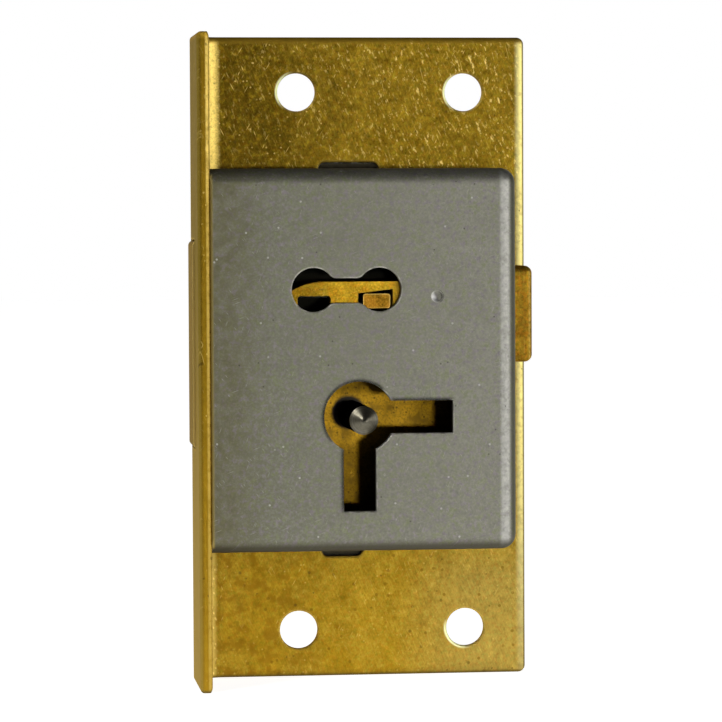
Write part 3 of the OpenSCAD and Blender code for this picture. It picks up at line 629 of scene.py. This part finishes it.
    # A painted reflection of the selvedge's brass on the cap's edge beside it
    selvedge_reflection = g.times(g.near(x, SELVEDGE_IN_X, 0.4, 0.1), g.near(y, FRONT_Y, 0.5, 0.2, 0.0, 0.8))
    colour = g.mix(selvedge_reflection, colour, rgb(0.42, 0.31, 0.07))
    roughness = g.plus(g.fit(patch, 0.3, 0.7, 0.46, 0.54), g.times(grain, 0.05))
    height = g.plus(g.times(grain, 0.5), g.times(patch, 0.3))
    height = g.minus(height, g.times(g.plus(nicks, pits), 0.6))
    g.metal(colour, roughness, height, 0.012, normal, STEEL_EDGE)
    return made


def turned_steel():
    """Drill pin and lever post: turned steel, bright at both ends, and painted near-black between them as
    shade.
    """
    made, g = material("turned_steel")
    place, _, y, _ = g.millimetres()
    normal = g.soft_edge(0.05)[0]
    grain = g.noise(place, 0.3, 3.0, 0.7)
    rings = g.node("ShaderNodeTexNoise", noise_dimensions="1D")
    g.put(rings.inputs["W"], y)
    rings.inputs["Scale"].default_value = 14.0
    rings.inputs["Detail"].default_value = 2.0
    colour = g.mix(g.fit(grain, 0.3, 0.7), rgb(0.165, 0.152, 0.112), rgb(0.12, 0.110, 0.080))
    colour = g.mix(g.fit(rings.outputs["Fac"], 0.45, 0.65, 0.0, 0.3), colour, rgb(0.30, 0.28, 0.23))
    # Between the ends the steel is painted near-black and matt, as shade
    ends = g.largest([g.near(y, FRONT_Y, 1.3, 0.95), g.near(y, PLATE_BACK_Y, -0.4, -0.2)])
    colour = g.mix(ends, rgb(0.010, 0.010, 0.008), colour)
    roughness = g.fit(grain, 0.3, 0.7, 0.28, 0.34)
    shader = g.metal(colour, roughness, rings.outputs["Fac"], 0.006, normal, STEEL_EDGE)
    g.put(shader.inputs["Metallic"], ends)
    g.put(shader.inputs["Specular IOR Level"], g.times(ends, 0.2))
    shader.inputs["Anisotropic"].default_value = 0.5
    tangent = g.node("ShaderNodeTangent", direction_type="RADIAL", axis="Y")
    g.put(shader.inputs["Tangent"], tangent.outputs[0])
    return made


def spring_steel():
    """Springs: dark strip with a blued cast."""
    made, g = material("spring_steel")
    place = g.millimetres()[0]
    normal, edge = g.soft_edge(0.05)
    grain = g.noise(place, 0.2, 3.0, 0.7)
    wide = g.noise(place, 1.8, 2.0)
    colour = g.mix(g.fit(wide, 0.35, 0.65), rgb(0.23, 0.235, 0.25), rgb(0.16, 0.165, 0.185))
    colour = g.mix(g.fit(grain, 0.4, 0.7, 0.0, 0.3), colour, rgb(0.32, 0.31, 0.29))
    colour = g.mix(g.times(edge, 0.4), colour, rgb(0.45, 0.44, 0.42))
    g.metal(colour, g.fit(grain, 0.3, 0.7, 0.3, 0.42), grain, 0.008, normal, STEEL_EDGE)
    return made


finishes = {
    "plate_brass": sheet_brass(),
    "bolt_brass": cast_brass(),
    "lever_brass": stamped_brass(),
    "cap_steel": pressed_steel(),
    "pin_steel": turned_steel(),
    "spring_steel": spring_steel(),
}
for part in frame["record"]["subparts"]:
    mesh = nodes[part["node"]].data
    mesh.materials.clear()
    mesh.materials.append(finishes[part["material_slot"]])
nodes["bolt_stump"].data.materials[0] = drawn_brass()

# Each spring is drawn from a copy of its mesh, baked in place, and the imported spring is hidden
for number in range(1, LEVERS + 1):
    name = f"lever_spring_{number}"
    spring = bpy.data.objects.new(f"bowed_spring_{number}", nodes[name].data.copy())
    bpy.context.scene.collection.objects.link(spring)
    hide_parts(name)
    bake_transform(spring)


def pale_floor():
    """Pale matt floor. It glows white to the camera, and to reflections unless it lies before the lock."""
    made, g = material("pale_floor")
    place, _, y, _ = g.millimetres()
    mottle = g.noise(place, 30.0, 2.0)
    matt = g.node("ShaderNodeBsdfDiffuse")
    g.put(matt.inputs["Color"], g.mix(mottle, rgb(0.80, 0.80, 0.79), rgb(0.84, 0.84, 0.83)))
    path = g.node("ShaderNodeLightPath")
    shown = g.times(path.outputs["Is Glossy Ray"], g.fit(y, -90.0, -20.0))
    seen = g.largest([path.outputs["Is Camera Ray"], path.outputs["Is Transmission Ray"], shown])
    glow = g.node("ShaderNodeEmission")
    glow.inputs["Color"].default_value = rgb(1, 1, 1)
    g.put(glow.inputs["Strength"], g.times(seen, FLOOR_GLOW))
    both = g.node("ShaderNodeAddShader")
    g.put(both.inputs[0], matt.outputs[0])
    g.put(both.inputs[1], glow.outputs[0])
    out = g.node("ShaderNodeOutputMaterial")
    g.put(out.inputs["Surface"], both.outputs[0])
    return made


def studio_world():
    """White to the camera and low behind the lock, grey on the left, dark on the right and overhead."""
    world = bpy.data.worlds.new("studio")
    world.use_nodes = True
    g = Graph(world.node_tree)
    coords = g.node("ShaderNodeTexCoord")
    split = g.node("ShaderNodeSeparateXYZ")
    g.put(split.inputs[0], coords.outputs["Generated"])
    x, y, z = split.outputs
    tone = g.mix(g.fit(x, -0.3, -0.9), rgb(0.05, 0.05, 0.05), rgb(0.32, 0.32, 0.32))
    tone = g.mix(g.fit(z, 0.10, 0.65), tone, rgb(0.05, 0.05, 0.05))
    behind = g.times(g.fit(y, 0.25, 0.75), g.fit(z, 0.6, 0.3))
    camera_ray = g.node("ShaderNodeLightPath").outputs["Is Camera Ray"]
    tone = g.mix(g.largest([behind, camera_ray]), tone, rgb(1, 1, 1))
    glow = g.node("ShaderNodeBackground")
    g.put(glow.inputs["Color"], tone)
    glow.inputs["Strength"].default_value = 1.0
    out = g.node("ShaderNodeOutputWorld")
    g.put(out.inputs["Surface"], glow.outputs[0])
    return world


def lamp(name, at, aim, width, height, radiance):
    """A soft box with the given radiance."""
    data = bpy.data.lights.new(name, "AREA")
    data.shape = "RECTANGLE"
    data.size = width
    data.size_y = height
    data.energy = radiance * math.pi * width * height
    made = bpy.data.objects.new(name, data)
    made.location = at
    made.rotation_euler = (Vector(aim) - Vector(at)).to_track_quat("-Z", "Y").to_euler()
    bpy.context.scene.collection.objects.link(made)


# Floor at the lock's lower end
floor_mesh = bpy.data.meshes.new("floor")
corners = [(-FLOOR_HALF, -FLOOR_HALF), (FLOOR_HALF, -FLOOR_HALF),
           (FLOOR_HALF, FLOOR_HALF), (-FLOOR_HALF, FLOOR_HALF)]
floor_mesh.from_pydata([(x, y, cad_low.z) for x, y in corners], [], [(0, 1, 2, 3)])
floor_mesh.materials.append(pale_floor())
floor = bpy.data.objects.new("floor", floor_mesh)
bpy.context.scene.collection.objects.link(floor)

# Light: a small lamp in front, a wide box on the right, and a small window high on the left
middle = (cad_low + cad_high) / 2
for lamp_name, (at, width, height, radiance) in LAMPS.items():
    lamp(lamp_name, at, middle, width, height, radiance)
bpy.context.scene.world = studio_world()

# Camera
camera_data = bpy.data.cameras.new("camera")
camera_data.sensor_fit = "HORIZONTAL"
camera_data.sensor_width = SENSOR
camera_data.lens = CAMERA_FOCAL_PX / PHOTO_SIDE * SENSOR
camera_data.clip_start = 0.01
camera = bpy.data.objects.new("camera", camera_data)
turn = Matrix.Rotation(math.radians(CAMERA_YAW), 4, "Z")
turn = turn @ Matrix.Rotation(math.radians(90 + CAMERA_PITCH), 4, "X")
turn = turn @ Matrix.Rotation(math.radians(CAMERA_ROLL), 4, "Z")
camera.matrix_world = Matrix.Translation(CAMERA_AT) @ turn
bpy.context.scene.collection.objects.link(camera)
bpy.context.scene.camera = camera
bpy.context.scene.view_settings.view_transform = "Standard"

bpy.context.view_layer.update()
